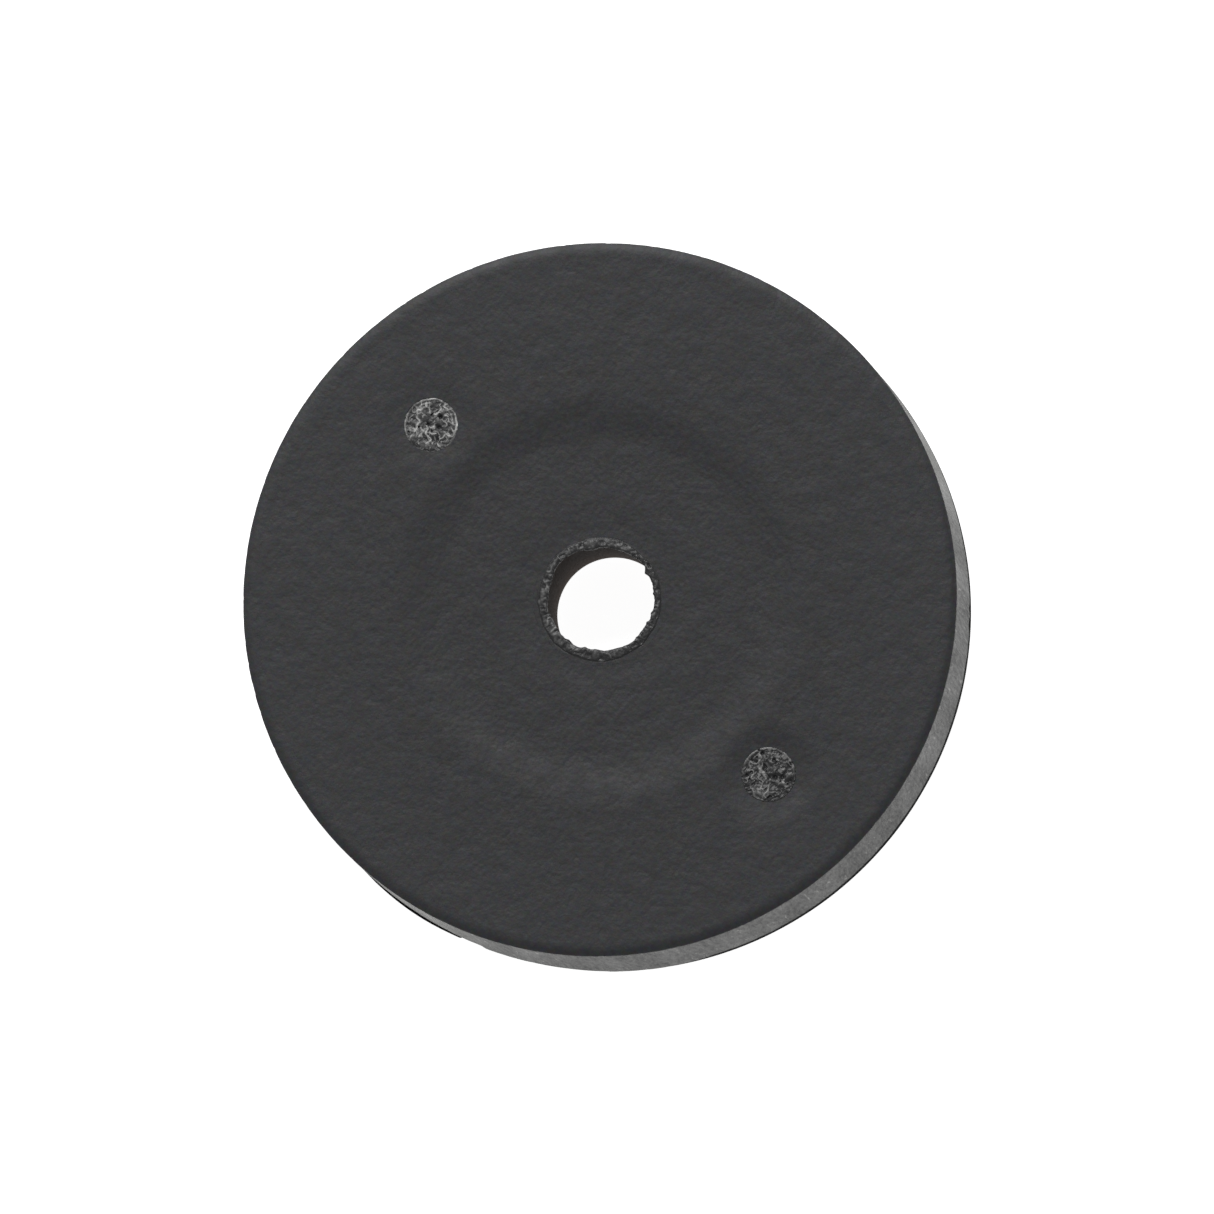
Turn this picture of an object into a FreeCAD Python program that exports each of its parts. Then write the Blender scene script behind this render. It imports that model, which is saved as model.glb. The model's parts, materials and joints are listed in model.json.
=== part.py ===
import FreeCAD, Part
import os
import re
import Sketcher
from FreeCAD import Placement, Rotation, Vector

# A flat magnetic security tag detacher: a 50 mm black plastic puck, 11 mm thick, with an 8 mm hole through
# its middle. A hard tag is laid on the front face, its lock dome in the shallow dish, and two concentric
# ring magnets of opposite polarity on a steel back plate pull the lock open. The shell, the magnet carrier
# and the base plate are clamped together by a lining sleeve and two plastic pins, both hot-formed at the
# front. A rubber pad is stuck on the back.
#
# Frame: the origin is the middle of the back face, +Z points out of the front face, and the first pin is
# on the X axis. Lengths are millimetres and angles are degrees.

doc = FreeCAD.newDocument("SecurityTagDetacher")

# ---------------------------------------------------------------- driving dimensions

SHEET = "Dimensions"
DIMENSIONS = [
    ("body_diameter", 50.0, "outside of the puck"),
    ("body_height", 11.0, "back of the pad to the front face"),
    ("bore_diameter", 8.0, "clear hole through the puck"),
    ("pad_thickness", 1.0, "rubber pad on the back"),
    ("tape_thickness", 0.15, "double-sided tape that holds the pad"),
    ("pad_hole_gap", 0.5, "pad's hole to the sleeve's flange, radial"),
    ("face_wall", 1.5, "front wall of the shell"),
    ("skirt_wall", 1.8, "side wall of the shell"),
    ("edge_roll_width", 1.0, "rolled-over edge of the front face, across"),
    ("edge_roll_drop", 0.2, "rolled-over edge of the front face, down"),
    ("edge_radius", 0.3, "corner between the rolled edge and the side"),
    ("dish_depth", 0.2, "how far the middle of the face is sunk"),
    ("dish_slope_width", 2.9, "slope between the face and the dish's floor"),
    ("base_thickness", 1.2, "plastic plate that closes the back"),
    ("iron_thickness", 1.5, "steel plate behind the magnets"),
    ("iron_overhang", 0.3, "steel plate beyond the outer magnet, radial"),
    ("shim_thickness", 0.3, "foam washer between magnets and shell"),
    ("inner_magnet_width", 3.1, "radial width of the inner ring magnet"),
    ("spacer_wall", 0.6, "plastic ring between the two magnets"),
    ("magnet_chamfer", 0.2, "broken edges of magnets and steel"),
    ("sleeve_wall", 0.4, "tube that lines the bore"),
    ("flare_width", 0.2, "sleeve's front end, spread outwards"),
    ("flare_height", 0.5, "sleeve's front end, spread part"),
    ("lip_rise", 0.15, "sleeve's front end above the dish's floor"),
    ("flange_width", 1.5, "sleeve's rear flange beyond the tube"),
    ("flange_thickness", 0.5, "sleeve's rear flange"),
    ("pin_inset", 7.9, "middle of a pin from the puck's side"),
    ("pin_count", 2, "hot-formed pins"),
    ("pin_shank_diameter", 2.8, "pin between its heads"),
    ("pin_head_diameter", 3.8, "hot-formed ends of a pin"),
    ("pin_head_height", 0.7, "hot-formed ends of a pin"),
    ("pin_sink", 0.06, "pin's front end under the front face"),
    ("pin_wall", 1.5, "carrier between a pin's hole and the steel plate"),
    ("pocket_count", 12, "coring pockets round the magnet carrier"),
    ("pocket_corner", 0.8, "largest corner radius of a coring pocket"),
    ("pocket_wall", 1.1, "carrier's walls round a pocket"),
    ("pocket_floor", 1.2, "carrier under a pocket"),
    ("fit_gap", 0.05, "radial gap round each pin, magnet and sleeve"),
    ("housing_gap", 0.1, "radial gap between the skirt and what it holds"),
]

NAMES = {alias for alias, value, note in DIMENSIONS}

sheet = doc.addObject("Spreadsheet::Sheet", SHEET)
for row, (alias, value, note) in enumerate(DIMENSIONS, start=1):
    sheet.set(f"A{row}", note)
    sheet.set(f"B{row}", str(value))
    sheet.setAlias(f"B{row}", alias)
doc.recompute()


def bound(text):
    """An expression over the sheet's names, written so that FreeCAD finds them in the sheet."""
    def in_sheet(word):
        name = word.group(0)
        return f"{SHEET}.{name}" if name in NAMES else name
    return re.sub(r"[a-z]\w+", in_sheet, text)


def value_of(text):
    """What an expression over the sheet's names comes to now."""
    return float(sheet.evalExpression(bound(text)))


# ---------------------------------------------------------------- sizes that follow from them

# Levels above the back face.
BASE_LEVEL = "(pad_thickness + tape_thickness)"
INSIDE_LEVEL = f"({BASE_LEVEL} + base_thickness)"
MAGNET_LEVEL = f"({INSIDE_LEVEL} + iron_thickness)"
FACE_UNDERSIDE = "(body_height - face_wall)"
SHIM_LEVEL = "(body_height - face_wall - shim_thickness)"
INSIDE_HEIGHT = f"({FACE_UNDERSIDE} - {INSIDE_LEVEL})"
MAGNET_HEIGHT = f"({SHIM_LEVEL} - {MAGNET_LEVEL})"
SHELL_HEIGHT = f"(body_height - {BASE_LEVEL})"
DISH_FLOOR = "(body_height - dish_depth)"

# Radii from the side inwards. The outer magnet takes what the pins leave.
OUTER_RADIUS = "(body_diameter / 2)"
SKIRT_INSIDE = f"({OUTER_RADIUS} - skirt_wall)"
HOUSED_RADIUS = f"({SKIRT_INSIDE} - housing_gap)"
PIN_RADIUS_AT = f"({OUTER_RADIUS} - pin_inset)"
SHANK_HOLE = "(pin_shank_diameter / 2 + fit_gap)"
HEAD_SEAT = "(pin_head_diameter / 2 + fit_gap)"
IRON_SEAT = f"({PIN_RADIUS_AT} - {SHANK_HOLE} - pin_wall)"
IRON_RADIUS = f"({IRON_SEAT} - fit_gap)"
OUTER_MAGNET_RADIUS = f"({IRON_RADIUS} - iron_overhang)"
CARRIER_BORE = f"({OUTER_MAGNET_RADIUS} + fit_gap)"

# Radii from the bore outwards.
BORE_RADIUS = "(bore_diameter / 2)"
SLEEVE_RADIUS = f"({BORE_RADIUS} + sleeve_wall)"
SLEEVE_HOLE = f"({SLEEVE_RADIUS} + fit_gap)"
FLANGE_RADIUS = f"({SLEEVE_RADIUS} + flange_width)"
PAD_HOLE = f"({FLANGE_RADIUS} + pad_hole_gap)"
INNER_MAGNET_RADIUS = f"({SLEEVE_HOLE} + inner_magnet_width)"
SPACER_INSIDE = f"({INNER_MAGNET_RADIUS} + fit_gap)"
SPACER_RADIUS = f"({SPACER_INSIDE} + spacer_wall)"
OUTER_MAGNET_BORE = f"({SPACER_RADIUS} + fit_gap)"

# Coring pockets: they keep their wall to the pins' holes, which stand midway between two of them.
POCKET_INSIDE = f"({IRON_SEAT} + pocket_wall)"
POCKET_OUTSIDE = f"({HOUSED_RADIUS} - pocket_wall)"
POCKET_HALF = f"({PIN_RADIUS_AT} * sin(180 deg / pocket_count) - {SHANK_HOLE} - pocket_wall)"
POCKET_CORNER = f"min(pocket_corner; {POCKET_HALF} * 0.9)"


# ---------------------------------------------------------------- how the pieces are made

def origin_feature(body, role):
    """A plane or axis of the body's own origin."""
    return next(f for f in body.Origin.OriginFeatures if f.Role == role)


def new_body(label, level, across="0", along="0"):
    """An empty body at a level above the back face, and across and along from the bore's axis."""
    body = doc.addObject("PartDesign::Body", f"{label}_body")
    body.Label = label
    body.Placement = Placement(Vector(*map(value_of, (across, along, level))), Rotation())
    for direction, length in zip("xyz", (across, along, level)):
        body.setExpression(f".Placement.Base.{direction}", bound(length))
    return body


def new_sketch(body, name, plane="XY_Plane", level="0", turn=None):
    """A sketch on one of the body's planes, lifted to a level and turned about Z."""
    sketch = body.newObject("Sketcher::SketchObject", f"{body.Label}_{name}")
    sketch.AttachmentSupport = (origin_feature(body, plane), [""])
    sketch.MapMode = "FlatFace"
    angle = value_of(turn) if turn else 0
    sketch.AttachmentOffset = Placement(
        Vector(0, 0, value_of(level)), Rotation(Vector(0, 0, 1), angle)
    )
    sketch.setExpression(".AttachmentOffset.Base.z", bound(level))
    if turn:
        sketch.setExpression(".AttachmentOffset.Rotation.Angle", bound(turn))
    return sketch


def hold(sketch, kind, geometry, name, expression):
    """A dimension of the sketch, tied to the sheet. On a zero length the point sits on the axis instead."""
    along_x = kind == "DistanceX"
    if abs(value_of(expression)) < 1e-9:
        axis = -2 if along_x else -1
        sketch.addConstraint(Sketcher.Constraint("PointOnObject", *geometry, axis))
        return
    ends = (-1, 1, *geometry) if kind.startswith("Distance") else geometry
    at = sketch.addConstraint(Sketcher.Constraint(kind, *ends, value_of(expression)))
    sketch.renameConstraint(at, name)
    sketch.setExpression(f"Constraints.{name}", bound(expression))


def closed_outline(sketch, corners):
    """Straight lines round the corners, each an (across, up) pair of expressions."""
    points = [Vector(value_of(across), value_of(up), 0) for across, up in corners]
    count = len(points)
    for i, start in enumerate(points):
        sketch.addGeometry(Part.LineSegment(start, points[(i + 1) % count]))
    for i in range(count):
        sketch.addConstraint(Sketcher.Constraint("Coincident", i, 2, (i + 1) % count, 1))
    for i, (across, up) in enumerate(corners):
        hold(sketch, "DistanceX", (i, 1), f"across_{i}", across)
        hold(sketch, "DistanceY", (i, 1), f"up_{i}", up)


def circle_at(sketch, radius, across="0"):
    """A circle on the sketch's X axis."""
    centre = Vector(value_of(across), 0, 0)
    i = sketch.addGeometry(Part.Circle(centre, Vector(0, 0, 1), value_of(radius)))
    hold(sketch, "DistanceX", (i, 3), f"centre_{i}", across)
    sketch.addConstraint(Sketcher.Constraint("PointOnObject", i, 3, -1))
    hold(sketch, "Radius", (i,), f"radius_{i}", radius)


def turned(body, corners):
    """The body's solid, turned about its vertical axis from an outline of (radius, height) corners."""
    sketch = new_sketch(body, "outline", "XZ_Plane")
    closed_outline(sketch, corners)
    solid = body.newObject("PartDesign::Revolution", f"{body.Label}_turned")
    solid.Profile = sketch
    solid.ReferenceAxis = (sketch, ["V_Axis"])
    solid.Angle = 360
    doc.recompute()


def washer(label, level, inside, outside, height):
    """A flat ring, padded from two circles."""
    body = new_body(label, level)
    sketch = new_sketch(body, "outline")
    circle_at(sketch, outside)
    circle_at(sketch, inside)
    ring = body.newObject("PartDesign::Pad", f"{label}_ring")
    ring.Profile = sketch
    ring.Length = value_of(height)
    ring.setExpression("Length", bound(height))
    doc.recompute()
    return body


def break_edges(body, size):
    """A small chamfer on every edge of the body."""
    plain = body.Tip
    chamfer = body.newObject("PartDesign::Chamfer", f"{body.Label}_edges")
    chamfer.Base = (plain, [""])
    chamfer.UseAllEdges = True
    chamfer.Size = value_of(size)
    chamfer.setExpression("Size", bound(size))
    body.Tip = chamfer
    doc.recompute()


def edge_names(shape, radius, level):
    """Names of the edges whose middle is this far from the axis and this high."""
    want = (value_of(radius), value_of(level))
    found = []
    for number, edge in enumerate(shape.Edges, start=1):
        middle = edge.valueAt((edge.FirstParameter + edge.LastParameter) / 2)
        here = ((middle.x ** 2 + middle.y ** 2) ** 0.5, middle.z)
        if all(abs(a - b) < 1e-4 for a, b in zip(here, want)):
            found.append(f"Edge{number}")
    return found


def round_edges(body, name, edges, radius):
    """A fillet on the named edges of the body."""
    plain = body.Tip
    fillet = body.newObject("PartDesign::Fillet", f"{body.Label}_{name}")
    fillet.Base = (plain, edges)
    fillet.Radius = value_of(radius)
    fillet.setExpression("Radius", bound(radius))
    body.Tip = fillet
    doc.recompute()


def cut(body, sketch, name, depth=None, upwards=False):
    """A pocket from the sketch: to a depth, or right through, downwards unless told otherwise."""
    before = body.Shape.Volume
    pocket = body.newObject("PartDesign::Pocket", f"{body.Label}_{name}")
    pocket.Profile = sketch
    pocket.Reversed = upwards
    if depth:
        pocket.Type = "Length"
        pocket.Length = value_of(depth)
        pocket.setExpression("Length", bound(depth))
    else:
        pocket.Type = "ThroughAll"
    doc.recompute()
    if body.Shape.Volume >= before:
        raise RuntimeError(f"{body.Label}: {name} cuts nothing")
    return pocket


def repeat_round(body, feature, count):
    """The feature repeated evenly round the body's axis."""
    pattern = body.newObject("PartDesign::PolarPattern", f"{feature.Name}_round")
    pattern.Originals = [feature]
    pattern.Axis = (origin_feature(body, "Z_Axis"), [""])
    pattern.Angle = 360
    pattern.Occurrences = int(value_of(count))
    pattern.setExpression("Occurrences", bound(count))
    body.Tip = pattern
    doc.recompute()


def pin_holes(body):
    """Clearance holes right through the body for the pins' shanks."""
    sketch = new_sketch(body, "shank_hole")
    circle_at(sketch, SHANK_HOLE, PIN_RADIUS_AT)
    repeat_round(body, cut(body, sketch, "shank_holes", upwards=True), "pin_count")


def pin_seats(body, level, depth, upwards):
    """Counterbores that the pins' formed ends fill."""
    sketch = new_sketch(body, "head_seat", level=level)
    circle_at(sketch, HEAD_SEAT, PIN_RADIUS_AT)
    seat = cut(body, sketch, "head_seats", depth, upwards)
    repeat_round(body, seat, "pin_count")


# ---------------------------------------------------------------- housing

def front_shell():
    """A cap: front wall with its dish and rolled edge, and a skirt down to the pad."""
    body = new_body("front_shell", BASE_LEVEL)
    top = SHELL_HEIGHT
    floor = f"{top} - dish_depth"
    turned(body, [
        (SLEEVE_HOLE, f"{top} - face_wall"),
        (SLEEVE_HOLE, f"{floor} - flare_height"),
        (f"{SLEEVE_HOLE} + flare_width", floor),
        (f"{CARRIER_BORE} - dish_slope_width", floor),
        (CARRIER_BORE, top),
        (f"{OUTER_RADIUS} - edge_roll_width", top),
        (OUTER_RADIUS, f"{top} - edge_roll_drop"),
        (OUTER_RADIUS, "0"),
        (SKIRT_INSIDE, "0"),
        (SKIRT_INSIDE, f"{top} - face_wall"),
    ])
    roll_edge = edge_names(body.Tip.Shape, OUTER_RADIUS, f"{top} - edge_roll_drop")
    round_edges(body, "corner", roll_edge, "edge_radius")
    pin_holes(body)
    pin_seats(body, top, "pin_head_height + pin_sink", upwards=False)
    return body


def base_plate():
    """The disc that closes the back, with seats for the pins' rear ends."""
    body = washer("base_plate", BASE_LEVEL, SLEEVE_HOLE, HOUSED_RADIUS, "base_thickness")
    pin_holes(body)
    pin_seats(body, "0", "pin_head_height", upwards=True)
    return body


def rear_pad():
    """The rubber disc that the puck stands on."""
    return washer("rear_pad", "0", PAD_HOLE, OUTER_RADIUS, "pad_thickness")


def pad_tape():
    """The double-sided tape between the pad and the plastic."""
    return washer("pad_tape", "pad_thickness", PAD_HOLE, OUTER_RADIUS, "tape_thickness")


# ---------------------------------------------------------------- magnets and what holds them

def magnet_carrier():
    """A cored plastic ring that centres the magnets and the steel plate in the skirt."""
    body = new_body("magnet_carrier", INSIDE_LEVEL)
    turned(body, [
        (IRON_SEAT, "0"),
        (HOUSED_RADIUS, "0"),
        (HOUSED_RADIUS, INSIDE_HEIGHT),
        (CARRIER_BORE, INSIDE_HEIGHT),
        (CARRIER_BORE, "iron_thickness"),
        (IRON_SEAT, "iron_thickness"),
    ])
    pin_holes(body)
    coring_pockets(body)
    return body


def coring_pockets(body):
    """Round-cornered pockets sunk from the top, between ribs that carry the pins."""
    sketch = new_sketch(body, "pocket", level=INSIDE_HEIGHT, turn="180 / pocket_count")
    closed_outline(sketch, [
        (POCKET_INSIDE, f"-{POCKET_HALF}"),
        (POCKET_OUTSIDE, f"-{POCKET_HALF}"),
        (POCKET_OUTSIDE, POCKET_HALF),
        (POCKET_INSIDE, POCKET_HALF),
    ])
    pocket = cut(body, sketch, "pocket_cut", f"{INSIDE_HEIGHT} - pocket_floor")
    repeat_round(body, pocket, "pocket_count")
    half_depth = f"({INSIDE_HEIGHT} + pocket_floor) / 2"
    upright = [
        name
        for end in (POCKET_INSIDE, POCKET_OUTSIDE)
        for name in edge_names(body.Tip.Shape, f"sqrt({end} ^ 2 + {POCKET_HALF} ^ 2)", half_depth)
    ]
    round_edges(body, "pocket_corners", upright, POCKET_CORNER)


def back_iron():
    """Mild steel plate that closes the magnets' field behind them."""
    body = washer("back_iron", INSIDE_LEVEL, SLEEVE_HOLE, IRON_RADIUS, "iron_thickness")
    break_edges(body, "magnet_chamfer")
    return body


def ring_magnet(label, inside, outside):
    """A plated ring magnet on the steel plate."""
    body = washer(label, MAGNET_LEVEL, inside, outside, MAGNET_HEIGHT)
    break_edges(body, "magnet_chamfer")
    return body


def magnet_spacer():
    """The thin plastic ring that keeps the two magnets concentric."""
    return washer("magnet_spacer", MAGNET_LEVEL, SPACER_INSIDE, SPACER_RADIUS, MAGNET_HEIGHT)


def front_shim():
    """The foam washer that stops the magnets rattling against the shell."""
    return washer("front_shim", SHIM_LEVEL, SLEEVE_HOLE, OUTER_MAGNET_RADIUS, "shim_thickness")


# ---------------------------------------------------------------- fastenings

def centre_sleeve():
    """The tube that lines the bore, flanged behind the base plate and spread at the dish into a lip."""
    body = new_body("centre_sleeve", f"{BASE_LEVEL} - flange_thickness")
    floor = f"({DISH_FLOOR} - {BASE_LEVEL} + flange_thickness)"
    turned(body, [
        (BORE_RADIUS, "0"),
        (FLANGE_RADIUS, "0"),
        (FLANGE_RADIUS, "flange_thickness"),
        (SLEEVE_RADIUS, "flange_thickness"),
        (SLEEVE_RADIUS, f"{floor} - flare_height"),
        (f"{SLEEVE_RADIUS} + flare_width", floor),
        (SLEEVE_RADIUS, f"{floor} + lip_rise"),
        (BORE_RADIUS, f"{floor} + lip_rise"),
    ])
    return body


def stake_pin(number):
    """A plastic pin through shell, carrier and base, with both ends hot-formed into heads."""
    turn = f"({number - 1} * 360 deg / pin_count)"
    across = f"{PIN_RADIUS_AT} * cos{turn}"
    along = f"{PIN_RADIUS_AT} * sin{turn}"
    body = new_body(f"stake_pin_{number}", BASE_LEVEL, across, along)
    top = f"({SHELL_HEIGHT} - pin_sink)"
    head = "pin_head_diameter / 2"
    shank = "pin_shank_diameter / 2"
    turned(body, [
        ("0", "0"),
        (head, "0"),
        (head, "pin_head_height"),
        (shank, "pin_head_height"),
        (shank, f"{top} - pin_head_height"),
        (head, f"{top} - pin_head_height"),
        (head, top),
        ("0", top),
    ])
    return body


bodies = [
    front_shell(),
    base_plate(),
    rear_pad(),
    pad_tape(),
    magnet_carrier(),
    back_iron(),
    ring_magnet("inner_ring_magnet", SLEEVE_HOLE, INNER_MAGNET_RADIUS),
    ring_magnet("outer_ring_magnet", OUTER_MAGNET_BORE, OUTER_MAGNET_RADIUS),
    magnet_spacer(),
    front_shim(),
    centre_sleeve(),
]
bodies += [stake_pin(number) for number in range(1, int(value_of("pin_count")) + 1)]

# ---------------------------------------------------------------- checks and export

doc.recompute()
for item in doc.Objects:
    if {"Invalid", "Error"} & set(item.State):
        raise RuntimeError(f"{item.Label} failed: {item.State}")
for body in bodies:
    if body.Shape.isNull() or not body.Shape.isValid() or len(body.Shape.Solids) != 1:
        raise RuntimeError(f"{body.Label} is not one valid solid")

os.makedirs("parts", exist_ok=True)
for body in bodies:
    body.Shape.exportStep(f"parts/{body.Label}.step")
    box = body.Shape.BoundBox
    print(f"{body.Label:20s} {body.Shape.Volume:9.2f} mm3, z {box.ZMin:5.2f} to {box.ZMax:5.2f}")
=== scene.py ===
# %% [markdown]
# # A magnetic tag detacher
#
# The object is a black plastic puck with a hole through its middle. A shop assistant lays a clothes tag
# on it, and the ring magnets inside pull the tag's lock open. The design's real solids are loaded first
# as a frame. Five of them have surfaces that a drawing can't hold: the moulded shell, the two melted
# pins, the sleeve with its melted lip and the cut rubber pad. Those are made again here in detail. The
# rest keep their shape and only get a finish.

# %% The frame
import json
import math

import bpy
import numpy as np
from mathutils import Matrix, Vector


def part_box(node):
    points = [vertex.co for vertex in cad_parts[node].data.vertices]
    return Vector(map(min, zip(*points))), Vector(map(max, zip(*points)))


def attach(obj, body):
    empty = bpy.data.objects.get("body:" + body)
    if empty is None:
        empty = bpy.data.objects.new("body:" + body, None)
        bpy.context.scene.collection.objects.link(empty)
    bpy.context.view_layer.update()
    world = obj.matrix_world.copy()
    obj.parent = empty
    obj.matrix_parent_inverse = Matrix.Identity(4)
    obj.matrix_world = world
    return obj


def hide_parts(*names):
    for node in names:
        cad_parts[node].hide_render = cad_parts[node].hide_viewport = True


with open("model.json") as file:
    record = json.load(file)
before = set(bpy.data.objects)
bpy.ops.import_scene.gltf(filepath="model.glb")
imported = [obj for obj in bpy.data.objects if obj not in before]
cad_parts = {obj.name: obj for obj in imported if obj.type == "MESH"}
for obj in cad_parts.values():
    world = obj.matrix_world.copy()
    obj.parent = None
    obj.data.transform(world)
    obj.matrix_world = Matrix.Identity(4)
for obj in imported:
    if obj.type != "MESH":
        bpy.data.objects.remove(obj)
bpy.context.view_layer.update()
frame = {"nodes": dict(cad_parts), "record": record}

print("solids in the frame:", len(frame["nodes"]))

# %% [markdown]
# ## Sizes
#
# Everything below is worked out in millimetres, because that is how such a part is drawn, and turned to
# Blender's metres only when a mesh is made. The places come from the frame's solids, so a new design
# moves the details with it. They could be typed in again, but then the two could drift apart.

# %% Sizes from the frame
MM = 0.001


def reach(node, axis=0):
    """How far a solid goes along an axis, in mm."""
    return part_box(node)[1][axis] / MM


def foot(node):
    """The lowest height of a solid, in mm."""
    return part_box(node)[0][2] / MM


mounts = {mount["name"]: mount for mount in frame["record"]["mounts"]}
BORE = mounts["centre_bore"]["dims"]["r_mm"]
OUTSIDE = reach("front_shell")
FACE = reach("front_shell", axis=2)
SHELL_FOOT = foot("front_shell")
# The carrier's top meets the underside of the face, and the base plate fits inside the skirt with a gap.
UNDERSIDE = reach("magnet_carrier", axis=2)
HOUSING_GAP = 0.1
SKIRT_INSIDE = reach("base_plate") + HOUSING_GAP
FLANGE = reach("centre_sleeve")
print(f"puck: {2 * OUTSIDE:.1f} mm across, {FACE:.1f} mm tall, bore {2 * BORE:.1f} mm")

# %% [markdown]
# ## A mesh from a grid of points
#
# Every detailed piece here is turned: a profile carried round an axis, with the surface pushed in or out
# by a pattern. It could be made with the Spin tool and then sculpted, but a grid of points worked out as
# whole arrays is exact, and it can be changed by changing one number. Rows follow the profile and
# columns go round, so the last column joins the first, and a row that ends on the axis closes in a fan.


# %% Grid to mesh
def turn(radius, height, columns):
    """Points (rows, columns, xyz) from a profile.

    x = radius cos angle, y = radius sin angle, z = height.
    """
    angle = np.linspace(0, 2 * np.pi, columns, endpoint=False)
    radius, height = radius[:, None], height[:, None] + 0 * angle
    return np.stack([radius * np.cos(angle), radius * np.sin(angle), height], axis=-1)


def solid(name, points, poles=None):
    """A closed mesh object from a grid in mm.

    Each cell of the grid is a four-sided face, and columns wrap round. With no poles the last row joins
    the first, as on a ring. Poles are the two points on the axis that close the first and last rows.
    """
    rows, columns, _ = points.shape
    across = np.arange(columns)
    beside = (across + 1) % columns
    row = np.arange(rows if poles is None else rows - 1)[:, None]
    above = (row + 1) % rows
    corners = [row * columns + across, row * columns + beside, above * columns + beside,
               above * columns + across]
    faces = np.stack(corners, axis=-1).reshape(-1, 4).tolist()
    verts = points.reshape(-1, 3)
    if poles is not None:
        count = rows * columns
        verts = np.vstack([verts, poles])
        last = (rows - 1) * columns
        faces += np.stack([beside, across, 0 * across + count], axis=-1).tolist()
        faces += np.stack([last + across, last + beside, 0 * across + count + 1], axis=-1).tolist()
    mesh = bpy.data.meshes.new(name)
    mesh.from_pydata((verts * MM).tolist(), [], faces)
    mesh.shade_smooth()
    piece = bpy.data.objects.new(name, mesh)
    bpy.context.scene.collection.objects.link(piece)
    print(f"{name}: {len(verts)} points, {len(faces)} faces")
    return piece


def spans(*pieces):
    """A profile from several stretches of (radius, height) points, one after another."""
    return np.concatenate([np.asarray(piece, dtype=float) for piece in pieces]).T


def line(start, end, count):
    """Evenly spaced points from start towards end, which is left for the next stretch."""
    return np.linspace(start, end, count, endpoint=False)


# %% [markdown]
# ## Random heights
#
# Melted or torn plastic and moulded skin are random, but smooth at some scale. Blender's own Noise
# texture could displace a mesh through a modifier. Heights worked out with numpy are used instead,
# because they can be mixed with the piece's own measures, such as the distance from a pin's edge.


# %% Smooth noise
def grain(points, size, seed):
    """Random heights from -1 to 1 that change over size mm.

    Space is cut into cubes, each corner gets a number from a table picked by its three whole
    coordinates, and a point blends its eight corners by 3 f^2 - 2 f^3 of its place in the cube.
    """
    table = np.random.default_rng(seed).uniform(-1, 1, 4096)
    place = points / size
    cell = np.floor(place).astype(np.int64)
    part = place - cell
    part = part * part * (3 - 2 * part)
    total = 0
    for corner in np.ndindex(2, 2, 2):
        key = (cell + corner) @ np.array([73856093, 19349663, 83492791])
        weight = np.where(corner, part, 1 - part).prod(axis=-1)
        total = total + weight * table[key % 4096]
    return total


def ridges(points, size, seed, sharpness=4):
    """Thin crests, from 0 to 1, where the noise crosses nought: (1 - |noise|) to a power."""
    return (1 - np.abs(grain(points, size, seed))) ** sharpness


def strands(points, size, seed, width):
    """Lines of an even width, in mm, where the noise crosses nought.

    The noise divided by its slope is the distance to the crossing, and a bell of that is the line. The
    slope comes from a small nudge along x and another along y, plus a little so that it is never nought.
    """
    here = grain(points, size, seed)
    nudge = 0.02 * size
    least_slope = 0.02 / size
    along_x = (grain(points + [nudge, 0, 0], size, seed) - here) / nudge
    along_y = (grain(points + [0, nudge, 0], size, seed) - here) / nudge
    return hump(here / (np.hypot(along_x, along_y) + least_slope), 0, width)


def step(x, low, high):
    """0 below low, 1 above high, and 3 f^2 - 2 f^3 between them."""
    part = np.clip((x - low) / (high - low), 0, 1)
    return part * part * (3 - 2 * part)


def hump(x, middle, width):
    """A bell: e to the minus square of the distance from the middle, in widths."""
    return np.exp(-(((x - middle) / width) ** 2))


# %% [markdown]
# ## The moulded shell
#
# The real shell is one injection moulding. Its skin is never truly flat: plastic shrinks as it cools, so
# the face sinks a little where the wall is thick, at the pins and towards the hole, and it rolls over at
# the edge. The middle is sunk on purpose, with a soft shoulder, to take the tag. The side wall shows
# faint marks where it slid out of the mould. All of that is too wide and shallow for a bump map, which
# only bends the light, so it is in the mesh: a ring-shaped grid with no poles.

# %% The face's height
# All in mm. The dish's shoulder goes from one radius to another. The edge roll and the funnel have the
# radius where they start and how far they drop. The sinks round the two pins differ in depth.
DISH_DEPTH = 0.2
DISH_EDGE = (10.9, 14.5)
CORNER = 0.08
EDGE_ROLL = (OUTSIDE - 1.3, 0.15)
FUNNEL = (7.2, 0.05)
SINK_REACH = 1.9
SINK_DEPTHS = (0.13, 0.06)
SKIN_WAVE = 0.009
# The sleeve's outside, and the wider end that was spread into the shell.
SLEEVE = BORE + 0.4
FLARE = SLEEVE + 0.25

pin_boxes = [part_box("stake_pin_1"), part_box("stake_pin_2")]
pin_places = [((low + high) / 2 / MM)[:2] for low, high in pin_boxes]
PIN_RADIUS = (pin_boxes[0][1][0] - pin_boxes[0][0][0]) / 2 / MM
PIN_TOP = reach("stake_pin_1", axis=2)
PIN_FOOT = foot("stake_pin_1")


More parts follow.
